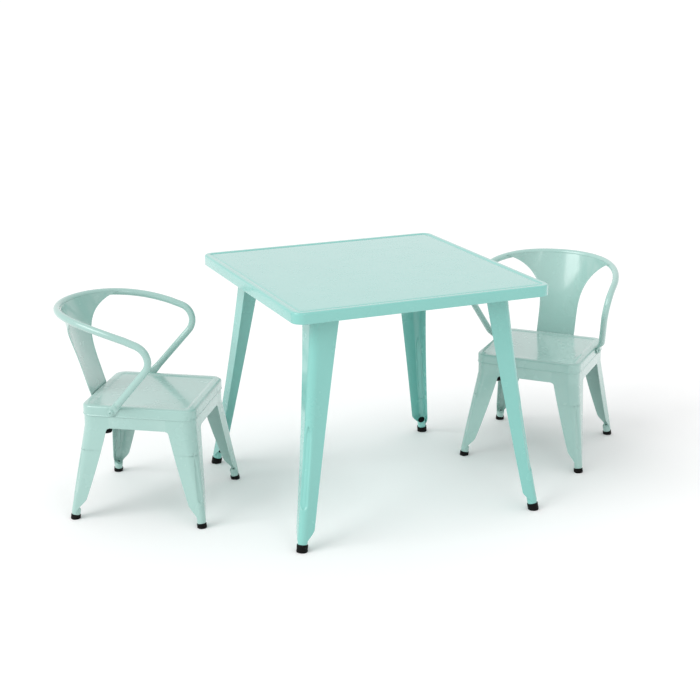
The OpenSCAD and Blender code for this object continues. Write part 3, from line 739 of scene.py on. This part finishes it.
def rounded_corner(a, b, c, radius, steps):
    """Points on an arc that rounds the corner b of the path a, b, c."""
    u, v = (a - b).normalized(), (c - b).normalized()
    half = acos(u.dot(v)) / 2
    middle = b + (u + v).normalized() * radius / sin(half)
    e = (b + u * radius / tan(half) - middle) / radius
    f = (b + v * radius / tan(half) - middle) / radius
    sweep = pi - 2 * half
    share = [i / steps for i in range(steps + 1)]
    return [middle + radius * (sin(sweep * (1 - s)) * e + sin(sweep * s) * f) / sin(sweep) for s in share]


def half_rail_path():
    """The rail's centre line from the middle of the back to the bolted pad, on the chair's left side."""
    arc_steps = 32
    path = []
    for i in range(arc_steps + 1):
        a = QUARTER * i / arc_steps
        x = WIDE_X - BACK_A * cos(a)
        outward = Vector((-cos(a) / BACK_A, sin(a) / ARM_HALF_W, 0))
        path.append((Vector((x, ARM_HALF_W * sin(a), arm_z(x))), outward))
    side = Vector((0, 1, 0))
    widest = path[-1][0]
    bend = rounded_corner(widest, CORNER, KNEE, ARM_BEND, 16)
    path += [(widest.lerp(bend[0], s), side) for s in (0.33, 0.66)]
    path += [(p, side) for p in bend]
    knee = rounded_corner(CORNER, KNEE, PAD_TOP, KNEE_BEND, 8)
    path += [(bend[-1].lerp(knee[0], s), side) for s in (0.25, 0.5, 0.75)]
    path += [(p, side) for p in knee]
    path += [(knee[-1].lerp(PAD_TOP, s), side) for s in (0.5, 1.0)]
    return path + [(PAD + STRUT * s, side) for s in (10, 6, 2, -2, -4.5, -6.5, -7.8, -8.4)]


def rail_section(position):
    """(half thickness, half width) near the bolted end: round, then pressed flat, then a round tip."""
    up = (position - PAD).dot(STRUT)
    flat = 1 - smooth_step((up - PRESS_START) / PRESS_RUN)
    thick = ARM_R + (PAD_T / 2 - ARM_R) * flat
    wide = ARM_R + (PAD_HALF_W - ARM_R) * flat
    if up < 0:
        tip = min(1.0, -up / PAD_TIP)
        wide *= sqrt(1 - tip ** 2)
    return thick, wide


def arm_rail_mesh(sides=28):
    """The whole bent tube, from one bolted pad round the back to the other."""
    half = half_rail_path()
    mirrored = [(Vector((p.x, -p.y, p.z)), Vector((n.x, -n.y, 0))) for p, n in half[:0:-1]]
    path = mirrored + half
    rings = []
    for i, (position, outward) in enumerate(path):
        after, before = path[min(i + 1, len(path) - 1)][0], path[max(i - 1, 0)][0]
        along = (after - before).normalized()
        n = (outward - along * outward.dot(along)).normalized()
        b = along.cross(n)
        twin = Vector((position.x, abs(position.y), position.z))
        round_the_back = position.z > CORNER.z - 60 and position.x < 0
        thick, wide = (ARM_R, ARM_R) if round_the_back else rail_section(twin)
        ring = []
        for a in turn_angles(sides):
            # A pressed end has flat faces: its outline is squarer than an ellipse.
            square = 1 - SQUARER * (ARM_R - thick) / (ARM_R - PAD_T / 2)
            x, y = cos(a), sin(a)
            x = (1 if x > 0 else -1) * abs(x) ** square
            ring.append(position + n * thick * x + b * wide * y)
        rings.append(ring)
    return loft(rings)


SPLAT_T = 1.5
SPLAT_FOOT = SEAT_H - SEAT_SKIRT + 2.8
SPLAT_BEND = SEAT_H - SEAT_EDGE
SPLAT_WAIST = SEAT_H + 36
SPLAT_HALF_W = 49
SPLAT_FLARE = 84
SPLAT_TOP_A = BACK_A - ARM_R - SPLAT_T / 2 - 0.3
SPLAT_TOP_W = ARM_HALF_W - ARM_R - SPLAT_T / 2
BEND_DIP, BEND_END = 0.02, 0.06  # the bend's softness and where it ends, as shares of the splat's rise
ROLL_W, ROLL_RUN, ROLL_H = 3.5, 3.0, 0.7


def splat_x(y, z):
    """Where the splat's middle surface is: upright at the skirt, then leaning back to the rail's curve."""
    foot = -SEAT_HALF - SPLAT_T / 2
    if z <= SPLAT_BEND:
        return foot
    top = WIDE_X - SPLAT_TOP_A * sqrt(1 - (y / SPLAT_TOP_W) ** 2)
    rise = (z - SPLAT_BEND) / (BACK_Z - SPLAT_BEND)
    soft = rise - BEND_DIP * (1 - smooth_step(rise / BEND_END)) * min(1.0, rise / BEND_DIP)
    return foot + (top - foot) * max(0.0, soft)


def splat_half_width(z):
    """Straight sides up to the waist, then a flare out to the rail."""
    if z <= SPLAT_WAIST:
        return SPLAT_HALF_W
    return SPLAT_HALF_W + SPLAT_FLARE * ((z - SPLAT_WAIST) / (BACK_Z - SPLAT_WAIST)) ** 3


def back_splat_mesh(across=36, up=44):
    """One curved sheet from the rear skirt up inside the rail, with its two side edges rolled."""
    rows = []
    heights = [SPLAT_FOOT, SPLAT_FOOT + 0.5 * (SPLAT_BEND - SPLAT_FOOT)]
    heights += [SPLAT_BEND + (BACK_Z - SPLAT_BEND) * (j / up) ** 0.9 for j in range(up + 1)]
    for z in heights:
        half = splat_half_width(z)
        front, back = [], []
        for i in range(across + 1):
            t = 2 * i / across - 1
            y = half * (1.35 * t - 0.35 * t ** 3) if abs(t) < 1 else half * t
            roll = smooth_step((abs(y) - half + ROLL_W) / ROLL_RUN) * ROLL_H
            roll *= smooth_step((z - SPLAT_BEND) / 10)
            middle = Vector((splat_x(y, z), y, z))
            front.append(middle + Vector((SPLAT_T / 2 + roll, 0, 0)))
            back.append(middle - Vector((SPLAT_T / 2 + roll * 0.4, 0, 0)))
        rows.append((back, front))
    return sheet_loft(rows)


def bolt_mesh():
    """A domed bolt along +Z with a hexagon socket, on a thin washer; z = 0 is the face it clamps."""
    head, socket, sides = 5.8, 2.2, 36
    profile = [(3.0, -12.5), (3.0, 0), (6.9, 0), (7.1, 0.3), (7.1, 0.7), (6.8, 1.0), (head, 1.0),
               (head, 1.7), (head * 0.95, 2.3), (head * 0.80, 3.0), (head * 0.62, 3.45), (socket + 0.35, 3.6)]
    rings = [[Vector((r * cos(a), r * sin(a), z)) for a in turn_angles(sides)] for r, z in profile]
    for r, z in ((socket, 3.5), (socket, 1.9)):
        ring = []
        for a in turn_angles(sides):
            facet = (a + pi / 6) % (pi / 3) - pi / 6
            ring.append(Vector((r * cos(a) / cos(facet), r * sin(a) / cos(facet), z)))
        rings.append(ring)
    return loft(rings)


def arm_bolts_mesh():
    """One bolt on each side of the seat, through the rail's pad."""
    bolts = []
    for side in (1, -1):
        place = Matrix.Translation((BOLT.x, side * (PAD_Y + PAD_T / 2), BOLT.z))
        bolts.append(moved(bolt_mesh(), place @ Matrix.Rotation(-side * QUARTER, 4, "X")))
    return merge(bolts)


# ---------------------------------------------------------------- the table and the chairs

def add_table():
    add_piece("table_top_fine", table_pan(), AQUA, TABLE_PLACE, "table", "table_top")
    for k, corner in enumerate(TABLE_CORNERS):
        add_leg(TABLE_LEG, AQUA, TABLE_PLACE, "table", "table_leg_" + corner, "table_foot_" + corner, k)


def add_chair(side):
    place, body = CHAIR_PLACE[side], side + "_chair"

    def add(part, mesh_data, material, turn=0, crease=SHEET_CREASE):
        node = f"{side}_{part}"
        turned = place @ Matrix.Rotation(turn, 4, "Z")
        add_piece(node + "_fine", mesh_data, material, turned, body, node, crease)

    add("seat_pan", seat_pan(), MINT)
    for k, name in enumerate(CHAIR_SIDES):
        add("rail_" + name, frame_rail_mesh(), MINT, QUARTER * k)
    for k, corner in enumerate(CHAIR_CORNERS):
        add_leg(CHAIR_LEG, MINT, place, body, f"{side}_leg_{corner}", f"{side}_foot_{corner}", k)
    add("cross_brace", cross_brace_mesh(), MINT)
    add("stack_bumpers", bumpers_mesh(), RUBBER, crease=RUBBER_CREASE)
    add("arm_rail", arm_rail_mesh(), MINT, crease=TUBE_CREASE)
    add("back_splat", back_splat_mesh(), MINT)
    add("arm_bolts", arm_bolts_mesh(), MINT)


def dress_kept_nodes():
    """Gives every CAD node that stays in view its own material."""
    for name, node in frame["nodes"].items():
        if name.startswith("top_channel"):
            material = AQUA
        elif "bracket" in name or "nuts" in name or name == "table_leg_bolts":
            material = ZINC
        else:
            continue
        node.data.materials.clear()
        node.data.materials.append(material)


# ---------------------------------------------------------------- floor, light and camera

FLOOR_HALF = 60.0


def add_floor():
    half = FLOOR_HALF
    mesh = bpy.data.meshes.new("studio_floor")
    corners = [(-half, -half, 0), (half, -half, 0), (half, half, 0), (-half, half, 0)]
    mesh.from_pydata(corners, [], [(0, 1, 2, 3)])
    mesh.materials.append(floor_paint("pale_floor"))
    floor = bpy.data.objects.new("studio_floor", mesh)
    bpy.context.scene.collection.objects.link(floor)


CAMERA_AIM = Vector((-0.0399, 0.0366, 0.3220))
CAMERA_DISTANCE = 3.3332
CAMERA_AZIMUTH = radians(-23.73)
CAMERA_ELEVATION = radians(16.80)
CAMERA_LENS = 73.13
CAMERA_SENSOR = 36
WORLD_STRENGTH = 0.90


def direction(azimuth, elevation):
    """The way from the aim to something at that azimuth and elevation; azimuth 0 is on the -Y side."""
    return Vector((sin(azimuth) * cos(elevation), -cos(azimuth) * cos(elevation), sin(elevation)))


def add_camera():
    camera = bpy.data.objects.new("camera", bpy.data.cameras.new("camera"))
    bpy.context.scene.collection.objects.link(camera)
    back = direction(CAMERA_AZIMUTH, CAMERA_ELEVATION)
    camera.location = CAMERA_AIM + back * CAMERA_DISTANCE
    camera.rotation_euler = back.to_track_quat("Z", "Y").to_euler()
    camera.data.lens = CAMERA_LENS
    camera.data.sensor_width = CAMERA_SENSOR
    bpy.context.scene.camera = camera


def add_light(name, azimuth, elevation, distance, size, watts):
    """A soft rectangle of light that faces the camera's aim."""
    light = bpy.data.lights.new(name, "AREA")
    light.shape, light.size, light.size_y = "RECTANGLE", size[0], size[1]
    light.energy = watts
    lamp = bpy.data.objects.new(name, light)
    bpy.context.scene.collection.objects.link(lamp)
    way = direction(radians(azimuth), radians(elevation))
    lamp.location = CAMERA_AIM + way * distance
    lamp.rotation_euler = way.to_track_quat("Z", "Y").to_euler()
    lamp.visible_camera = False


def add_sun(name, azimuth, elevation, softness, strength):
    """A very soft directional light; softness is the angle it spans."""
    light = bpy.data.lights.new(name, "SUN")
    light.energy, light.angle = strength, radians(softness)
    lamp = bpy.data.objects.new(name, light)
    bpy.context.scene.collection.objects.link(lamp)
    lamp.rotation_euler = direction(radians(azimuth), radians(elevation)).to_track_quat("Z", "Y").to_euler()


def add_lights():
    world = bpy.data.worlds.new("studio")
    world.use_nodes = True
    world.node_tree.nodes["Background"].inputs["Color"].default_value = (1, 1, 1, 1)
    world.node_tree.nodes["Background"].inputs["Strength"].default_value = WORLD_STRENGTH
    bpy.context.scene.world = world
    add_sun("key_left", azimuth=-85, elevation=36, softness=42, strength=1.4)
    add_light("back_soft", azimuth=156, elevation=20, distance=7.0, size=(6.0, 3.0), watts=2)
    add_light("front_window", azimuth=0, elevation=28, distance=4.0, size=(0.8, 1.6), watts=8)
    bpy.context.scene.view_settings.view_transform = "Standard"


add_camera()
add_lights()
add_floor()
add_table()
for chair_side in CHAIR_PLACE:
    add_chair(chair_side)
dress_kept_nodes()
